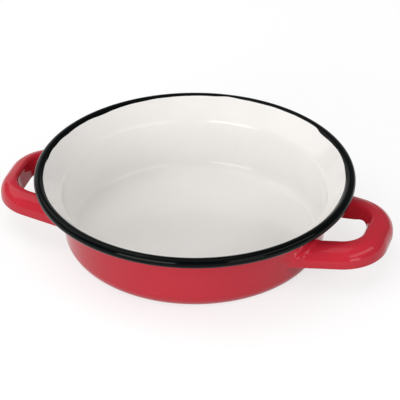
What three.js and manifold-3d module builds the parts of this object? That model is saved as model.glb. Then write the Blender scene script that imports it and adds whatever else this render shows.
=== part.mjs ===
// Enamel egg dish: a drawn steel pan with an outward curled rim, enamelled white inside, red outside
// and black over the curl, with two pressed loop handles welded to its wall.
// Millimetres, +Z up. The base stands on Z = 0, the handles lie along X, the front faces -Y.
import * as THREE from "three";
import { mergeVertices } from "three/addons/utils/BufferGeometryUtils.js";
import Module from "manifold-3d";

const wasm = await Module();
wasm.setup();

const deg = THREE.MathUtils.degToRad;
const QUARTER = deg(90);

// Sheet of the pan, and the enamel fired on each face of it
const SHEET = 0.8;
const ENAMEL = 0.35;
const HALF = SHEET / 2 + ENAMEL;

// Pan, measured over the enamel
const RIM_DIAMETER = 160;
const HEIGHT = 38.5;
const BASE_RADIUS = 64.65;
const CORNER_RADIUS = 8;
const WALL_DRAFT = deg(6.6);
const BEND_RADIUS = 4;
const FLARE_ANGLE = deg(45);
const BEAD_DIAMETER = 5;
const CURL_TURN = deg(278);
const BLACK_BAND = 0.4;

// Loop handle: a channel open below, its outer shoulder rounder than its inner one
const HANDLE_REACH = 100.4;
const HANDLE_MIDDLE = 19.2;
const LOOP_HALF_WIDTH = 19.1;
const LOOP_RADIUS = 18.4;
const LEG_TAPER = deg(13.4);
const LEG_START = 58;
const STRAP_WIDTH = 10.2;
const STRAP_HEIGHT = 10.2;
const STRAP_WALL = 1.6;
const OUTER_SHOULDER = 7.8;
const INNER_SHOULDER = 2;

// Fillet round each foot, and the gap kept where foot, fillet and wall are fitted together
const WELD_LEG = 2.4;
const WELD_TOE = 0.25;
const FIT_GAP = 0.3;

// Fineness
const FACETS = 56;
const CORNER_STEPS = 4;
const BEND_STEPS = 3;
const CURL_STEPS = 8;
const LOOP_STEPS = 30;
const OUTER_SHOULDER_STEPS = 5;
const INNER_SHOULDER_STEPS = 3;
const WELD_STEPS = 3;
const MERGE_DISTANCE = 1e-4;

// A round of the given radius where a line on one heading turns onto the next heading at a corner.
function roundAt(corner, heading, next, radius) {
  const side = Math.sign(next - heading);
  const setback = radius * Math.tan(Math.abs(next - heading) / 2);
  const centre = new THREE.Vector2(
    corner.x - setback * Math.cos(heading) - side * radius * Math.sin(heading),
    corner.y - setback * Math.sin(heading) + side * radius * Math.cos(heading),
  );
  return { centre, radius, side, from: heading - side * QUARTER, to: next - side * QUARTER };
}

// Points along a round, shifted to the right of its direction of travel.
function alongRound({ centre, radius, side, from, to }, shift, steps) {
  const r = radius + side * shift;
  return new THREE.EllipseCurve(centre.x, centre.y, r, r, from, to, side < 0).getPoints(steps);
}

// Middle line of the sheet: floor, rounded corner, drafted wall, bend, flare and curl.
const wallHeading = QUARTER - WALL_DRAFT;
const flareHeading = QUARTER - FLARE_ANGLE;
const wallDirection = new THREE.Vector2(Math.cos(wallHeading), Math.sin(wallHeading));
const flareDirection = new THREE.Vector2(Math.cos(flareHeading), Math.sin(flareHeading));

const curl = {
  centre: new THREE.Vector2((RIM_DIAMETER - BEAD_DIAMETER) / 2, HEIGHT - BEAD_DIAMETER / 2),
  radius: BEAD_DIAMETER / 2 - HALF,
  side: -1,
  from: flareHeading + QUARTER,
  to: flareHeading + QUARTER - CURL_TURN,
};
const curlStart = alongRound(curl, 0, 1)[0];

const floorCorner = new THREE.Vector2(
  BASE_RADIUS + HALF * Math.tan(WALL_DRAFT) - HALF / Math.cos(WALL_DRAFT),
  HALF,
);
const floorToCurl = curlStart.clone().sub(floorCorner);
const wallLength = floorToCurl.cross(flareDirection) / wallDirection.cross(flareDirection);
const wallTop = floorCorner.clone().addScaledVector(wallDirection, wallLength);

const corner = roundAt(floorCorner, 0, wallHeading, CORNER_RADIUS - HALF);
const bend = roundAt(wallTop, wallHeading, flareHeading, BEND_RADIUS - HALF);

// The same line shifted towards the outside of the pan, from the axis to the end of the curl.
// The curl turns the inside of the pan outwards, so its coat lies on the other side.
function panLine(shift) {
  const rolled = alongRound(curl, shift, CURL_STEPS);
  return [
    new THREE.Vector2(0, HALF - shift),
    ...alongRound(corner, shift, CORNER_STEPS),
    ...alongRound(bend, shift, BEND_STEPS),
    rolled[0].clone().addScaledVector(flareDirection, -BLACK_BAND),
    ...rolled,
  ];
}
const BAND_EDGE = CORNER_STEPS + BEND_STEPS + 3;
const CURL_START = BAND_EDGE + 1;

// A wall spun about the axis from its two faces, the outer one first.
function spin(outer, inner) {
  const profile = [...outer, ...inner.toReversed()];
  if (profile[0].x > 0) {
    profile.push(profile[0].clone());
  }
  return new THREE.LatheGeometry(profile, FACETS).rotateX(QUARTER);
}

const steelOutside = panLine(SHEET / 2);
const steelInside = panLine(-SHEET / 2);
const redFace = panLine(HALF);
const whiteFace = panLine(-HALF);

const steelPan = spin(steelOutside, steelInside);
const whiteLining = spin(steelInside.slice(0, BAND_EDGE + 1), whiteFace.slice(0, BAND_EDGE + 1));
const redCoat = spin(redFace.slice(0, CURL_START + 1), steelOutside.slice(0, CURL_START + 1));
const blackRim = spin(steelInside.slice(BAND_EDGE), whiteFace.slice(BAND_EDGE));

// Closed solid of a geometry, with the empty triangles at its poles left out.
function solidOf(geometry) {
  const bare = geometry.clone();
  bare.deleteAttribute("normal");
  bare.deleteAttribute("uv");
  const merged = mergeVertices(bare, MERGE_DISTANCE);
  const index = merged.getIndex().array;
  const triangles = [];
  for (let i = 0; i < index.length; i += 3) {
    const [a, b, c] = index.slice(i, i + 3);
    if (a !== b && b !== c && c !== a) {
      triangles.push(a, b, c);
    }
  }
  return new wasm.Manifold(new wasm.Mesh({
    numProp: 3,
    vertProperties: new Float32Array(merged.getAttribute("position").array),
    triVerts: new Uint32Array(triangles),
  }));
}

function geometryOf(solid) {
  const mesh = solid.getMesh();
  const geometry = new THREE.BufferGeometry();
  geometry.setAttribute("position", new THREE.BufferAttribute(mesh.vertProperties, 3));
  geometry.setIndex(new THREE.BufferAttribute(mesh.triVerts, 1));
  return geometry;
}

// Arch of the strap seen along it, from the outer lip over the top to the inner lip, grown evenly.
// x points away from the inside of the loop, y up.
function arch(grow) {
  const half = STRAP_WIDTH / 2;
  const top = STRAP_HEIGHT / 2;
  const outer = roundAt(new THREE.Vector2(half, top), QUARTER, 2 * QUARTER, OUTER_SHOULDER);
  const inner = roundAt(new THREE.Vector2(-half, top), 2 * QUARTER, 3 * QUARTER, INNER_SHOULDER);
  return [
    new THREE.Vector2(half + grow, -top),
    ...alongRound(outer, grow, OUTER_SHOULDER_STEPS),
    ...alongRound(inner, grow, INNER_SHOULDER_STEPS),
    new THREE.Vector2(-half - grow, -top),
  ];
}

// Middle line of the strap in plan: front leg, the loop's two rounds with the grip between, back leg.
class LoopLine extends THREE.Curve {
  constructor() {
    super();
    const reach = HANDLE_REACH - STRAP_WIDTH / 2;
    const spread = LOOP_HALF_WIDTH + (reach - LEG_START) * Math.tan(LEG_TAPER);
    const frontCorner = new THREE.Vector2(reach, -LOOP_HALF_WIDTH);
    const { centre, from } = roundAt(frontCorner, LEG_TAPER, QUARTER, LOOP_RADIUS);
    this.foot = new THREE.Vector2(LEG_START, -spread);
    this.plan = new THREE.Path();
    this.plan.moveTo(LEG_START, -spread);
    this.plan.lineTo(centre.x + LOOP_RADIUS * Math.cos(from), centre.y + LOOP_RADIUS * Math.sin(from));
    this.plan.absarc(centre.x, centre.y, LOOP_RADIUS, from, 0);
    this.plan.absarc(centre.x, -centre.y, LOOP_RADIUS, 0, -from);
    this.plan.lineTo(LEG_START, spread);
  }

  getPoint(t, target = new THREE.Vector3()) {
    const p = this.plan.getPoint(t);
    return target.set(p.x, p.y, HANDLE_MIDDLE);
  }
}
const loop = new LoopLine();

// Handle: the channel swept along the loop, its feet cut back to the wall.
// The sweep lays the section's x downwards and its y towards the inside of the loop.
const channel = [...arch(0), ...arch(-STRAP_WALL).toReversed()];
const channelShape = new THREE.Shape(channel.map((p) => new THREE.Vector2(-p.y, -p.x)));
const sweep = new THREE.ExtrudeGeometry(channelShape, {
  steps: LOOP_STEPS,
  extrudePath: loop,
  bevelEnabled: false,
});
const panBlock = panLine(HALF + FIT_GAP).slice(0, CURL_START);
const footCutter = spin(panBlock, [new THREE.Vector2(0, panBlock.at(-1).y)]);
const handle = geometryOf(solidOf(sweep).subtract(solidOf(footCutter)));

// A point of the strap's section slid along the front leg until it stands off the wall by a distance.
function slideToWall(point, standoff) {
  const z = HANDLE_MIDDLE + point.y;
  const along = new THREE.Vector2(Math.cos(LEG_TAPER), Math.sin(LEG_TAPER));
  const across = new THREE.Vector2(along.y, -along.x);
  const start = loop.foot.clone().addScaledVector(across, point.x);
  const radius = BASE_RADIUS + z * Math.tan(WALL_DRAFT) + standoff / Math.cos(WALL_DRAFT);
  const toward = start.dot(along);
  const distance = Math.sqrt(toward * toward - start.lengthSq() + radius * radius) - toward;
  const foot = start.addScaledVector(along, distance);
  return new THREE.Vector3(foot.x, foot.y, z);
}

// Fillet round the front foot: a hollow triangle carried over the arch, one side on the wall and
// one on the strap. Each corner of it is given as its distance from the wall and from the strap.
function weldFillet() {
  const hollow = {
    centre: new THREE.Vector2(WELD_LEG, WELD_LEG),
    radius: WELD_LEG - WELD_TOE,
    side: -1,
    from: 3 * QUARTER,
    to: 2 * QUARTER,
  };
  const section = [
    new THREE.Vector2(0, 0),
    new THREE.Vector2(WELD_LEG, 0),
    ...alongRound(hollow, 0, WELD_STEPS),
    new THREE.Vector2(0, WELD_LEG),
  ];
  const rails = section.map(({ x, y }) => arch(FIT_GAP + y).map((p) => slideToWall(p, FIT_GAP + x)));
  const count = section.length;
  const last = rails[0].length - 1;
  const positions = [];
  for (let i = 0; i <= last; i += 1) {
    for (const rail of rails) {
      positions.push(...rail[i].toArray());
    }
  }
  const index = [];
  for (let i = 0; i < last; i += 1) {
    for (let k = 0; k < count; k += 1) {
      const a = i * count + k;
      const b = i * count + (k + 1) % count;
      index.push(a, a + count, b, b, a + count, b + count);
    }
  }
  for (const [a, b, c] of THREE.ShapeUtils.triangulateShape(section, [])) {
    index.push(a, b, c, last * count + a, last * count + c, last * count + b);
  }
  const geometry = new THREE.BufferGeometry();
  geometry.setAttribute("position", new THREE.Float32BufferAttribute(positions, 3));
  geometry.setIndex(index);
  return geometry;
}

// The same piece on the other side of the X axis.
function mirrored(geometry) {
  const copy = geometry.clone().scale(1, -1, 1);
  copy.setIndex(Array.from(copy.getIndex().array).reverse());
  return copy;
}

const frontWeld = weldFillet();
const backWeld = mirrored(frontWeld);

const STEEL = { color: 0x8d9092, metalness: 0.9, roughness: 0.4 };
const WHITE = { color: 0xe6e3dc, metalness: 0, roughness: 0.15 };
const RED = { color: 0xb5202e, metalness: 0, roughness: 0.15 };
const BLACK = { color: 0x0e1112, metalness: 0, roughness: 0.12 };

function piece(name, geometry, finish) {
  const mesh = new THREE.Mesh(geometry, new THREE.MeshStandardMaterial(finish));
  mesh.name = name;
  return mesh;
}

const dish = new THREE.Group();
dish.name = "enamel_egg_dish";
dish.add(
  piece("steel_pan", steelPan, STEEL),
  piece("white_lining", whiteLining, WHITE),
  piece("red_coat", redCoat, RED),
  piece("black_rim", blackRim, BLACK),
  piece("right_handle", handle, RED),
  piece("right_front_weld", frontWeld, RED),
  piece("right_back_weld", backWeld, RED),
);

// The left side is the right one turned half round, so its front and back feet change places.
const leftSide = new THREE.Group();
leftSide.rotation.z = 2 * QUARTER;
leftSide.add(
  piece("left_handle", handle.clone(), RED),
  piece("left_back_weld", frontWeld.clone(), RED),
  piece("left_front_weld", backWeld.clone(), RED),
);
dish.add(leftSide);

export default dish;
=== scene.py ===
"""Looks of an enamel egg dish: a white lining, a red coat and a black rim fired on a drawn steel pan,
and two red enamelled loop handles welded to its wall. Metres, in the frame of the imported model."""

import bmesh
import bpy
import numpy as np
from mathutils import Matrix, Vector


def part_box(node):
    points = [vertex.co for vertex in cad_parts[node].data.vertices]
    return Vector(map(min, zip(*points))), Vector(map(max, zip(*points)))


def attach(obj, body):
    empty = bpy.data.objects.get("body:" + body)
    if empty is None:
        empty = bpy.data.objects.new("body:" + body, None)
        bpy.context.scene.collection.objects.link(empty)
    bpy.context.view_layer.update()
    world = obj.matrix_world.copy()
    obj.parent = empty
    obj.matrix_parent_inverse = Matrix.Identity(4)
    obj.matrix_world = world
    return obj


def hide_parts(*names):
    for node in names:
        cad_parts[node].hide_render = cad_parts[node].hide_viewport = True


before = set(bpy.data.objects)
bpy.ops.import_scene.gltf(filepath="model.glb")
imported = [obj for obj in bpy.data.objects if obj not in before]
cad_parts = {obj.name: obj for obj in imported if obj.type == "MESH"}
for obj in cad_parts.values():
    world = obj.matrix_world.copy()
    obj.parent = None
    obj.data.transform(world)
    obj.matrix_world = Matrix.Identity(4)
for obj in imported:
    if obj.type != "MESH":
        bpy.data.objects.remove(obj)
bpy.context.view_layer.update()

MM = 0.001
QUARTER = np.pi / 2

# Pan: the sheet, the enamel on each face of it, and its form measured over the enamel
SHEET = 0.8 * MM
ENAMEL = 0.35 * MM
HALF = SHEET / 2 + ENAMEL
BASE_RADIUS = 64.65 * MM
CORNER_RADIUS = 8 * MM
WALL_DRAFT = np.radians(6.6)
BEND_RADIUS = 4 * MM
FLARE_ANGLE = np.radians(45)
BEAD_RADIUS = 2.5 * MM
CURL_TURN = np.radians(278)
RIM_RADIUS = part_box("black_rim")[1].x
DISH_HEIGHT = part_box("black_rim")[1].z

# Black band: its mean and full width on the flare, how much narrower it is at the back, how far it laps over
# the white and stands above it, and how far round the curl its edge is taken up
BLACK_BAND = 0.4 * MM
BAND_FULL = 0.55 * MM
BAND_DROP = 0.85 * MM
BLACK_LAP = 0.5 * MM
BLACK_STEP = 0.06 * MM
BLACK_EDGE_ROUND = 0.3 * MM
BLACK_EVEN = 1.6 * MM

# Where the band gets narrower at the back and where it grows again, as angles from the front towards the
# right, each with the span of the change, all in degrees, and the fine waver of its edge
BARE_FROM, BARE_STEP = 138, 4
BARE_TO, BARE_FADE = 195, 45
BAND_WAVER = 0.04 * MM

# Loop handle: a channel open below, its outer shoulder rounder than its inner one, its inner side leaning in.
# The line that it follows starts inside the wall, and its inner lip rises round the end of the leg
STRAP_LOW, STRAP_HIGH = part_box("right_handle")
STRAP_HEIGHT = STRAP_HIGH.z - STRAP_LOW.z
STRAP_MIDDLE = (STRAP_HIGH.z + STRAP_LOW.z) / 2
STRAP_WIDTH = 11.6 * MM
STRAP_WALL = 1.6 * MM
OUTER_SHOULDER = 7.8 * MM
INNER_SHOULDER = 2 * MM
INNER_LEAN = 2 * MM
LOOP_HALF_WIDTH = 18.9 * MM
LOOP_RADIUS = 17.7 * MM
LEG_TAPER = np.radians(13.4)
LEG_START = 44 * MM
LIP_RISE = 23.6 * MM
FOOT_SINK = 0.15 * MM

# What the hand made of each handle: the angle round the dish that it is welded at, how much slimmer its strap
# is, and how far its inner lip lies above the outer one at the foot and at the grip
HANDLES = {
    "right": (np.radians(-0.7), 0, 0.3 * MM, 4 * MM),
    "left": (np.pi, 2.4 * MM, 0.3 * MM, 0.6 * MM),
}

# Fillet that the enamel makes round a welded foot, with a soft ridge on the strap before it. It shrinks to a
# share of its leg at the lips
FILLET_LEG = 4.2 * MM
FILLET_SINK = 0.04 * MM
FILLET_TAPER = 5 * MM
FILLET_LEAST = 0.1
RIDGE_HEIGHT = 0.5 * MM
RIDGE_HALF_WIDTH = 2 * MM

# Fineness of the meshes
LINE_STEPS = 4000
ROUND_STEPS = 540
SHARP_EDGE = np.radians(50)
POLE_MERGE = 0.001 * MM

# Unevenness of a fired coat: its drift in thickness, and its orange peel of about 3 mm from crest to crest
DRIFT_SIZE = 22 * MM
PEEL_SIZE = 6 * MM
PEEL_DEPTH = 0.1 * MM
PEEL_STRENGTH = 0.12

# Studio: half the side of the floor, how much whiter it looks than it lights, and the light of the room
FLOOR_HALF = 2.5
FLOOR_LIFT = 0.72
ROOM_LIGHT = 0.25


def walk(start, heading, stretches):
    """A line in a plane, walked from a start on a heading. A stretch is its length and the angle that it
    turns through on the way, so a straight run turns by 0. The place is the sum of small steps on each
    heading. Gives the distance, both coordinates and the heading at close steps, and the distances where
    stretches end."""
    lengths, turns = np.array(stretches).T
    ends = np.concatenate([[0], np.cumsum(lengths)])
    headings = heading + np.concatenate([[0], np.cumsum(turns)])
    s = np.union1d(np.linspace(0, ends[-1], LINE_STEPS), ends)
    middle = np.interp((s[1:] + s[:-1]) / 2, ends, headings)
    step = np.diff(s)
    x = start[0] + np.concatenate([[0], np.cumsum(step * np.cos(middle))])
    y = start[1] + np.concatenate([[0], np.cumsum(step * np.sin(middle))])
    return {"s": s, "x": x, "y": y, "heading": np.interp(s, ends, headings), "ends": ends}


def beside(line, s, shift):
    """Points at distances along a walked line, moved to the right of its direction by a shift."""
    heading = np.interp(s, line["s"], line["heading"])
    x = np.interp(s, line["s"], line["x"]) + shift * np.sin(heading)
    y = np.interp(s, line["s"], line["y"]) - shift * np.cos(heading)
    return x, y


def spaced(marks, counts):
    """Values that run through the marks in order, with a count of even steps between each two."""
    runs = [np.linspace(a, b, n, endpoint=False) for a, b, n in zip(marks, marks[1:], counts)]
    return np.concatenate([*runs, marks[-1:]])


def smooth(x):
    """An even rise from 0 to 1 while x runs from 0 to 1."""
    x = np.clip(x, 0, 1)
    return x * x * (3 - 2 * x)


def pan_line():
    """Middle line of the sheet from the axis: floor, corner round, drafted wall, bend, flare and curl. The
    wall and the flare are as long as it takes for the curl to end up at the rim's radius and height."""
    wall, flare = QUARTER - WALL_DRAFT, QUARTER - FLARE_ANGLE
    corner_round, bend_round, curl_round = CORNER_RADIUS - HALF, BEND_RADIUS - HALF, BEAD_RADIUS - HALF
    floor = BASE_RADIUS + HALF * np.tan(WALL_DRAFT) - HALF / np.cos(WALL_DRAFT)
    across = RIM_RADIUS - BEAD_RADIUS - curl_round * np.sin(flare) - floor
    up = DISH_HEIGHT - BEAD_RADIUS + curl_round * np.cos(flare) - HALF
    turn = np.sin(wall - flare)
    wall_length = (up * np.cos(flare) - across * np.sin(flare)) / turn
    flare_length = (across * np.sin(wall) - up * np.cos(wall)) / turn
    corner_set = corner_round * np.tan(wall / 2)
    bend_set = bend_round * np.tan((wall - flare) / 2)
    return walk((0, HALF), 0, [
        (floor - corner_set, 0),
        (corner_round * wall, wall),
        (wall_length - corner_set - bend_set, 0),
        (bend_round * (wall - flare), flare - wall),
        (flare_length - bend_set, 0),
        (curl_round * CURL_TURN, -CURL_TURN),
    ])


PAN = pan_line()
FLOOR_END, CORNER_END, WALL_END, BEND_END, FLARE_END, CURL_END = PAN["ends"][1:]
ANGLE = np.arange(ROUND_STEPS) * 2 * np.pi / ROUND_STEPS


# Runs and bare places of the black where the rim was dipped by hand: the angle from the front towards the
# right and the spread, both in degrees, and the change in the width of the band
BAND_RUNS = [
    (85, 14, 1.1 * MM),
    (106, 9, 0.45 * MM),
    (122, 4, -0.2 * MM),
    (135, 4, 0.42 * MM),
    (184, 4, -0.5 * MM),
    (236, 6, 0.4 * MM),
    (256, 4, 0.25 * MM),
    (275, 3, 0.4 * MM),
    (310, 10, -0.6 * MM),
]


def band_edge():
    """Where the black band begins at each angle round the dish, as a distance along the pan's line. Its width
    is even at the front, drops in one step at the back right, grows again over the back left, and has a bell
    for each run. A negative width leaves the start of the curl white."""
    angle = (np.degrees(ANGLE) + 90) % 360
    bare = smooth((angle - BARE_FROM) / BARE_STEP) * (1 - smooth((angle - BARE_TO) / BARE_FADE))
    waver = BAND_WAVER * (np.sin(23 * ANGLE) + np.sin(37 * ANGLE + 1))
    width = BAND_FULL - bare * BAND_DROP + waver
    for at, spread, change in BAND_RUNS:
        width = width + change * np.exp(-((angle - at) / spread) ** 2)
    return FLARE_END - np.where(width > 0, width, width * (BEAD_RADIUS - HALF) / BEAD_RADIUS)


def spun(s, shift):
    """Points of the pan at distances along its line and shifts from it, carried round the axis: rows of the
    grid follow the section and columns the angle."""
    radius, height = beside(PAN, s, shift)
    return np.stack([radius * np.cos(ANGLE), radius * np.sin(ANGLE), height + 0 * ANGLE], axis=-1)


def fit_to_edge(s, edge):
    """Rows along the flare, stretched or drawn in at each angle so that the last of them lies on an edge."""
    share = np.clip((s[:, None] - BEND_END) / (s[-1] - BEND_END), 0, 1)
    return s[:, None] + share * (edge - s[-1])


def lining_grid():
    """White lining: the pan's inner line offset by the enamel, spun from the axis to under the black band,
    and back along the steel to the axis."""
    marks = [0, FLOOR_END, CORNER_END, WALL_END, BEND_END, FLARE_END - BLACK_BAND + BLACK_LAP]
    face = fit_to_edge(spaced(marks, [36, 16, 16, 14, 16]), band_edge() + BLACK_LAP)
    back = fit_to_edge(spaced(marks, [6, 8, 4, 8, 4]), band_edge() + BLACK_LAP)
    s = np.concatenate([face, back[::-1]])
    shift = np.concatenate([np.full(len(face), -HALF), np.full(len(back), -SHEET / 2)])
    return spun(s, shift[:, None])


def coat_grid():
    """Red coat: the pan's outer line offset by the enamel, spun from the axis to the start of the curl, and
    back along the steel to the axis."""
    marks = [0, FLOOR_END, CORNER_END, WALL_END, BEND_END, FLARE_END]
    face = spaced(marks, [30, 20, 20, 12, 10])
    back = spaced(marks, [6, 8, 4, 8, 4])
    s = np.concatenate([face, back[::-1]])
    shift = np.concatenate([np.full(len(face), HALF), np.full(len(back), SHEET / 2)])
    return spun(s[:, None], shift[:, None])


def rim_grid():
    """Black rim: from its edge on the flare round the outside of the curl and back along the steel. It rises
    over the white at its edge as a quarter round and keeps that step."""
    edge = band_edge()
    even = FLARE_END + BLACK_EVEN
    onset = np.linspace(0, 1, 8)[:, None]
    rise = np.sqrt(1 - (1 - onset) ** 2)
    face = np.concatenate([
        edge + onset * BLACK_EDGE_ROUND,
        edge + BLACK_EDGE_ROUND + np.linspace(0, 1, 17)[1:, None] * (even - edge - BLACK_EDGE_ROUND),
        spaced([even, CURL_END], [56])[1:, None] + 0 * ANGLE,
    ])
    stand = np.concatenate([rise * BLACK_STEP, np.full((len(face) - len(rise), 1), BLACK_STEP)])
    back = np.concatenate([
        spaced([CURL_END, even], [28])[:, None] + 0 * ANGLE,
        even + np.linspace(0, 1, 9)[1:, None] * (edge - even),
    ])
    s = np.concatenate([face, back])
    shift = np.concatenate([-HALF - stand, np.full((len(back), 1), -SHEET / 2)])
    return spun(s, shift)


def strap_line():
    """Middle line of the strap's wall seen along the strap, from the outer lip up, over the top and down to
    the inner lip. x points away from the inside of the loop and y up."""
    half_wall = STRAP_WALL / 2
    outer, inner = OUTER_SHOULDER - half_wall, INNER_SHOULDER - half_wall
    return walk((STRAP_WIDTH / 2 - half_wall, -STRAP_HEIGHT / 2), QUARTER, [
        (STRAP_HEIGHT - half_wall - outer, 0),
        (outer * QUARTER, QUARTER),
        (STRAP_WIDTH - STRAP_WALL - outer - inner, 0),
        (inner * QUARTER, QUARTER),
        (STRAP_HEIGHT - half_wall - inner, 0),
    ])


def loop_line():
    """Middle line of half the loop in plan: the front leg, the round and half the grip."""
    reach = STRAP_HIGH.x - STRAP_WIDTH / 2
    setback = LOOP_RADIUS * np.tan((QUARTER - LEG_TAPER) / 2)
    leg = (reach - LEG_START) / np.cos(LEG_TAPER)
    foot = (LEG_START, -LOOP_HALF_WIDTH - leg * np.sin(LEG_TAPER))
    return walk(foot, LEG_TAPER, [
        (leg - setback, 0),
        (LOOP_RADIUS * (QUARTER - LEG_TAPER), QUARTER - LEG_TAPER),
        (LOOP_HALF_WIDTH - setback, 0),
    ])


STRAP = strap_line()
LOOP = loop_line()
STRAP_LENGTH = STRAP["ends"][-1]


def distance_to_wall(x, y, standoff):
    """How far along the front leg a point of the strap's section lies when it stands off the wall by a
    distance: the root of the quadratic for a line in plan that meets the wall's circle at that height."""
    radius = BASE_RADIUS + (STRAP_MIDDLE + y) * np.tan(WALL_DRAFT) + standoff / np.cos(WALL_DRAFT)
    start_x, start_y = beside(LOOP, np.zeros_like(x), x)
    toward = start_x * np.cos(LEG_TAPER) + start_y * np.sin(LEG_TAPER)
    return np.sqrt(toward ** 2 - start_x ** 2 - start_y ** 2 + radius ** 2) - toward


def across_top(s):
    """How far over the strap's top a distance along its section lies, from 0 at the outer shoulder to 1 at
    the inner one."""
    outer, inner = STRAP["ends"][2:4]
    return np.clip((s - outer) / (inner - outer), 0, 1)


def inner_side(s):
    """How far down the strap's inner side a distance along its section lies, from 0 at the shoulder to 1 at
    the lip."""
    top, lip = STRAP["ends"][-2:]
    return np.clip((s - top) / (lip - top), 0, 1)


def handle_grid(slimmer, foot, grip):
    """Loop handle: the channel's closed section, slimmer by a width, carried along the loop. Each point of
    the section starts where it meets the wall, and the second half of the loop mirrors the first. The inner
    lip goes from one height at the foot to another at the grip. Rows follow the loop and columns the
    section, whose lips are half round."""
    turn = (np.arange(5) + 0.5) / 5 * QUARTER
    lip = STRAP_WALL / 2 * (1 - np.cos(turn))
    marks = [STRAP_WALL / 2, *STRAP["ends"][1:-1], STRAP_LENGTH - STRAP_WALL / 2]
    run = spaced(marks, [4, 20, 2, 12, 10])
    half_s = np.concatenate([lip, run, STRAP_LENGTH - lip[::-1]])
    lip_shift = STRAP_WALL / 2 * np.sin(turn)
    half_shift = np.concatenate([lip_shift, np.full(len(run), STRAP_WALL / 2), lip_shift[::-1]])
    s = np.concatenate([half_s, half_s[::-1]])
    x, y = beside(STRAP, s, np.concatenate([half_shift, -half_shift[::-1]]))
    x = x + slimmer * across_top(s) - INNER_LEAN * inner_side(s)

    leg = LOOP["ends"][1]
    along = spaced(LOOP["ends"], [30, 40, 6])[:, None]
    start = distance_to_wall(x, y + foot * inner_side(s), -FOOT_SINK)
    distance = np.where(along < leg, start + (leg - start) * along / leg, along)
    plan_x, plan_y = beside(LOOP, distance, x)
    rise = foot + (grip - foot) * smooth((distance - leg) / LIP_RISE + 0.5)
    front = np.stack([plan_x, plan_y, STRAP_MIDDLE + y + rise * inner_side(s)], axis=-1)
    return np.concatenate([front, mirrored(front[-2::-1])])


def fillet_grid(slimmer, foot):
    """Fillet round the right front foot: a hollow triangle carried over the strap's arch, one side in the
    wall and one in the strap, with a bell for the ridge where it runs out on the strap. A point of it is its
    distance from both, as a share of its leg, which shrinks towards the lips."""
    turn = np.linspace(0, QUARTER, 14)
    half_ridge = RIDGE_HALF_WIDTH / FILLET_LEG
    run_out = np.linspace(1 + half_ridge, 1, 10, endpoint=False)
    face = np.concatenate([run_out, 1 - np.sin(turn)])
    ridge = np.cos(np.clip((face - 1) / half_ridge, -1, 1) * QUARTER) ** 2 * RIDGE_HEIGHT / FILLET_LEG
    hollow = np.concatenate([0 * run_out, 1 - np.cos(turn)]) + ridge
    side = np.linspace(0, 2, 24)
    wall = np.concatenate([face, np.clip(side - 1, 0, 1) * face[0]])
    strap = np.concatenate([hollow, np.clip(1 - side, 0, 1)])
    s = spaced(STRAP["ends"], [10, 24, 2, 12, 16])[:, None]
    from_lip = np.minimum(s, STRAP_LENGTH - s)
    leg = FILLET_LEG * (FILLET_LEAST + (1 - FILLET_LEAST) * smooth(from_lip / FILLET_TAPER))
    x, y = beside(STRAP, s, STRAP_WALL / 2 + strap * leg - FILLET_SINK)
    x = x + slimmer * across_top(s) - INNER_LEAN * inner_side(s)
    y = y + foot * inner_side(s)
    distance = distance_to_wall(x, y, wall * leg - FILLET_SINK)
    plan_x, plan_y = beside(LOOP, distance, x)
    return np.stack([plan_x, plan_y, STRAP_MIDDLE + y], axis=-1)


def mirrored(grid):
    """The same points on the other side of the X axis."""
    return grid * np.array([1, -1, 1])


def turned(grid, angle):
    """The same points turned by an angle round the axis of the dish."""
    return grid @ np.array(Matrix.Rotation(-angle, 3, "Z"))


def piece(name, grid, ends, material, slot, *nodes):
    """A closed mesh from a grid of points, whose columns always join up. The first and last rows are joined
    to each other, drawn together to a pole, or capped by strips between the two halves of the row. The faces
    are turned outwards by the sign of the volume that they hold."""
    rows, columns = grid.shape[:2]
    row = np.arange(rows if ends == "joined" else rows - 1)[:, None]
    column = np.arange(columns)[None, :]
    beyond, beside_it = (row + 1) % rows, (column + 1) % columns
    corners = [row * columns + column, row * columns + beside_it,
               beyond * columns + beside_it, beyond * columns + column]
    faces = np.stack(corners, axis=-1).reshape(-1, 4)
    points = grid.reshape(-1, 3)
    if ends == "capped":
        i = np.arange(columns // 2 - 1)
        cap = np.stack([i, columns - 1 - i, columns - 2 - i, i + 1], axis=-1)
        far = cap[:, ::-1] + (rows - 1) * columns
        faces = np.concatenate([faces, cap, far])
    first, second, third = points[faces[:, 0]], points[faces[:, 1]], points[faces[:, 2]]
    fourth = points[faces[:, 3]]
    volume = np.sum(first * (np.cross(second, third) + np.cross(third, fourth)))
    if volume < 0:
        faces = faces[:, ::-1]
    mesh = bpy.data.meshes.new(name)
    mesh.from_pydata(points, [], faces.tolist())
    if ends == "pole":
        mesh = merged(mesh)
    mesh.materials.append(material)
    mesh.shade_smooth()
    mesh.set_sharp_from_angle(angle=SHARP_EDGE)
    thing = bpy.data.objects.new(name, mesh)
    bpy.context.scene.collection.objects.link(thing)
    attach(thing, "root")
    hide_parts(*nodes)
    return thing


def merged(mesh):
    """The mesh with the points that fall together at a pole made one."""
    work = bmesh.new()
    work.from_mesh(mesh)
    bmesh.ops.remove_doubles(work, verts=work.verts, dist=POLE_MERGE)
    work.to_mesh(mesh)
    work.free()
    return mesh


def linear(colour):
    """A colour written as an sRGB hex value, turned to linear red, green, blue and alpha."""
    value = np.array([int(colour[i:i + 2], 16) for i in (1, 3, 5)]) / 255
    value = np.where(value <= 0.04045, value / 12.92, ((value + 0.055) / 1.055) ** 2.4)
    return (*value.tolist(), 1.0)


def add(tree, kind, inputs=None, **settings):
    """Adds a node to a tree. The settings are its properties, and each input is a value or the socket that
    feeds it."""
    node = tree.nodes.new(kind)
    for key, value in settings.items():
        setattr(node, key, value)
    for key, value in (inputs or {}).items():
        if isinstance(value, bpy.types.NodeSocket):
            tree.links.new(value, node.inputs[key])
        else:
            node.inputs[key].default_value = value
    return node


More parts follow.
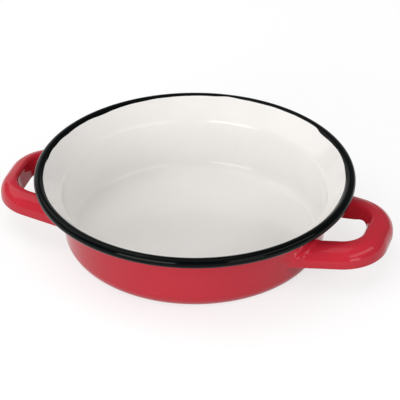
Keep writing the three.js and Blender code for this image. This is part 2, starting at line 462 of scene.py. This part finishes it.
def new_material(name):
    """An empty material and its node tree."""
    material = bpy.data.materials.new(name)
    material.use_nodes = True
    material.node_tree.nodes.clear()
    return material, material.node_tree


def fired_enamel(name, deep, pale, gloss, dull, level):
    """Vitreous enamel, sprayed on and fired: glass over an opaque colour. It gives the eye a hard gloss with
    the faint unevenness of a melted coat, and a colour that drifts a little with its thickness. Given by its
    deeper and paler colour, its least and greatest roughness and the level of its mirroring."""
    material, tree = new_material(name)
    place = add(tree, "ShaderNodeTexCoord").outputs["Object"]
    drift = add(tree, "ShaderNodeTexNoise", {"Vector": place, "Scale": 1 / DRIFT_SIZE, "Detail": 2.0})
    colour = add(tree, "ShaderNodeMix", {
        "Factor": drift.outputs["Fac"], "A": linear(deep), "B": linear(pale),
    }, data_type="RGBA")
    peel = add(tree, "ShaderNodeTexNoise", {"Vector": place, "Scale": 1 / PEEL_SIZE, "Detail": 1.0})
    bump = add(tree, "ShaderNodeBump", {
        "Height": peel.outputs["Fac"], "Strength": PEEL_STRENGTH, "Distance": PEEL_DEPTH,
    })
    rough = add(tree, "ShaderNodeMapRange", {
        "Value": drift.outputs["Fac"], "To Min": gloss, "To Max": dull,
    })
    shader = add(tree, "ShaderNodeBsdfPrincipled", {
        "Base Color": colour.outputs["Result"],
        "Roughness": rough.outputs["Result"],
        "Normal": bump.outputs["Normal"],
        "IOR": 1.5,
        "Specular IOR Level": level,
    })
    add(tree, "ShaderNodeOutputMaterial", {"Surface": shader.outputs["BSDF"]})
    return material


def sheet_steel():
    """Cold rolled sheet steel, pickled before enamelling: a dull satin grey with faint rolling streaks."""
    material, tree = new_material("cold_rolled_sheet_steel")
    place = add(tree, "ShaderNodeTexCoord").outputs["Object"]
    stretched = add(tree, "ShaderNodeMapping", {"Vector": place, "Scale": (1, 12, 1)})
    streak = add(tree, "ShaderNodeTexNoise", {
        "Vector": stretched.outputs["Vector"], "Scale": 1 / (18 * MM), "Detail": 4.0,
    })
    colour = add(tree, "ShaderNodeMix", {
        "Factor": streak.outputs["Fac"], "A": linear("#7E8183"), "B": linear("#989B9D"),
    }, data_type="RGBA")
    rough = add(tree, "ShaderNodeMapRange", {
        "Value": streak.outputs["Fac"], "To Min": 0.34, "To Max": 0.46,
    })
    shader = add(tree, "ShaderNodeBsdfPrincipled", {
        "Base Color": colour.outputs["Result"],
        "Roughness": rough.outputs["Result"],
        "Metallic": 1.0,
    })
    add(tree, "ShaderNodeOutputMaterial", {"Surface": shader.outputs["BSDF"]})
    return material


def pale_floor():
    """Matt white studio paper. It looks white to the camera and in reflections, and still takes a shadow."""
    material, tree = new_material("matt_white_paper")
    diffuse = add(tree, "ShaderNodeBsdfDiffuse", {"Color": linear("#A4A4A4")})
    ray = add(tree, "ShaderNodeLightPath")
    seen = add(tree, "ShaderNodeMath", {0: ray.outputs["Is Camera Ray"], 1: ray.outputs["Is Glossy Ray"]},
               operation="MAXIMUM")
    seen_through = add(tree, "ShaderNodeMath", {
        0: seen.outputs["Value"], 1: ray.outputs["Is Transmission Ray"],
    }, operation="MAXIMUM")
    lift = add(tree, "ShaderNodeMath", {
        0: seen_through.outputs["Value"], 1: FLOOR_LIFT,
    }, operation="MULTIPLY")
    glow = add(tree, "ShaderNodeEmission", {"Strength": lift.outputs["Value"]})
    both = add(tree, "ShaderNodeAddShader", {0: diffuse.outputs["BSDF"], 1: glow.outputs["Emission"]})
    add(tree, "ShaderNodeOutputMaterial", {"Surface": both.outputs["Shader"]})

    grid = FLOOR_HALF * np.array([[-1, -1, 0], [1, -1, 0], [1, 1, 0], [-1, 1, 0]])
    mesh = bpy.data.meshes.new("floor")
    mesh.from_pydata(grid, [], [(0, 1, 2, 3)])
    mesh.materials.append(material)
    floor = bpy.data.objects.new("floor", mesh)
    bpy.context.scene.collection.objects.link(floor)


def direction(azimuth, elevation):
    """Unit vector from the dish, by angles in degrees. Azimuth 0 is the front and 90 the right, and elevation
    is above the table."""
    a, e = np.radians(azimuth), np.radians(elevation)
    return Vector((np.sin(a) * np.cos(e), -np.cos(a) * np.cos(e), np.sin(e)))


def softbox(name, azimuth, elevation, distance, width, height, radiance):
    """A flat soft light that faces the dish, given by where it stands, its size and its radiance."""
    lamp = bpy.data.lights.new(name, "AREA")
    lamp.shape = "RECTANGLE"
    lamp.size, lamp.size_y = width, height
    lamp.energy = radiance * np.pi * width * height
    thing = bpy.data.objects.new(name, lamp)
    away = direction(azimuth, elevation)
    thing.location = away * distance
    thing.rotation_mode = "QUATERNION"
    thing.rotation_quaternion = away.to_track_quat("Z", "Y")
    thing.visible_camera = False
    bpy.context.scene.collection.objects.link(thing)


def studio():
    """A low key light left of the camera, a smaller one right of it, a long light on the right, weaker soft
    light from the front, the left, above and behind, and a dim white room."""
    softbox("key", -14.5, 16, 0.9, 0.6, 0.36, 5.6)
    softbox("front", -25, 46, 1.2, 0.9, 0.5, 0.5)
    softbox("left", -97, 50, 1.2, 1.0, 1.1, 1.2)
    softbox("overhead", 0, 85, 1.2, 0.8, 0.8, 0.9)
    softbox("right", 74, 37, 1.2, 1.3, 0.32, 2.5)
    softbox("low_right", 50, 8, 1.2, 0.5, 0.26, 3.6)
    softbox("back", -150, 18, 1.4, 1.5, 0.6, 0.6)
    world = bpy.data.worlds.new("white_room")
    world.use_nodes = True
    world.node_tree.nodes["Background"].inputs["Color"].default_value = linear("#FFFFFF")
    world.node_tree.nodes["Background"].inputs["Strength"].default_value = ROOM_LIGHT
    bpy.context.scene.world = world
    bpy.context.scene.view_settings.view_transform = "Standard"


# Camera: seen from the front, a little to the right, at 1.2 m
VIEW_AZIMUTH = 16.9
VIEW_ELEVATION = 32.04
VIEW_DISTANCE = 1.2
VIEW_RIGHT = 2.6 * MM
VIEW_DOWN = 12.03 * MM
VIEW_ROLL = 0.089
LENS = 217.0


def photograph_camera():
    """A long lens that looks from above the front at a point a little right of and below the rim's middle,
    with the slight roll of a camera that isn't quite level."""
    rim_middle = Vector((0, 0, DISH_HEIGHT - BEAD_RADIUS))
    back = direction(VIEW_AZIMUTH, VIEW_ELEVATION)
    right = Vector((-back.y, back.x, 0)).normalized()
    up = back.cross(right)
    place = rim_middle + back * VIEW_DISTANCE
    ahead = (rim_middle + right * VIEW_RIGHT - up * VIEW_DOWN - place).normalized()
    side = ahead.cross(Vector((0, 0, 1))).normalized()
    side = Matrix.Rotation(-np.radians(VIEW_ROLL), 3, ahead) @ side
    upright = side.cross(ahead)
    camera = bpy.data.cameras.new("camera")
    camera.lens = LENS
    camera.clip_start = 0.05
    thing = bpy.data.objects.new("camera", camera)
    thing.matrix_world = Matrix((side, upright, -ahead)).transposed().to_4x4()
    thing.location = place
    bpy.context.scene.collection.objects.link(thing)
    bpy.context.scene.camera = thing


white = fired_enamel("white_vitreous_enamel", "#F2EFEB", "#F8F5F2", 0.10, 0.16, 0.5)
red = fired_enamel("red_vitreous_enamel", "#CB2A3A", "#D32F3F", 0.06, 0.10, 0.25)
black = fired_enamel("black_vitreous_enamel", "#010404", "#030707", 0.06, 0.10, 0.1)

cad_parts["steel_pan"].data.materials.clear()
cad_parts["steel_pan"].data.materials.append(sheet_steel())

piece("lining", lining_grid(), "pole", white, "white_enamel", "white_lining")
piece("coat", coat_grid(), "pole", red, "red_enamel", "red_coat")
piece("rim", rim_grid(), "joined", black, "black_enamel", "black_rim")

for side, (angle, slimmer, foot, grip) in HANDLES.items():
    handle = handle_grid(slimmer, foot, grip)
    front_fillet = fillet_grid(slimmer, foot)
    near, far = ("front", "back") if side == "right" else ("back", "front")
    piece(f"{side}_loop", turned(handle, angle), "capped", red, "red_enamelled_steel", f"{side}_handle")
    piece(f"{side}_{near}_fillet", turned(front_fillet, angle), "capped", red, "red_enamelled_steel",
          f"{side}_{near}_weld")
    piece(f"{side}_{far}_fillet", turned(mirrored(front_fillet), angle), "capped", red, "red_enamelled_steel",
          f"{side}_{far}_weld")

pale_floor()
studio()
photograph_camera()
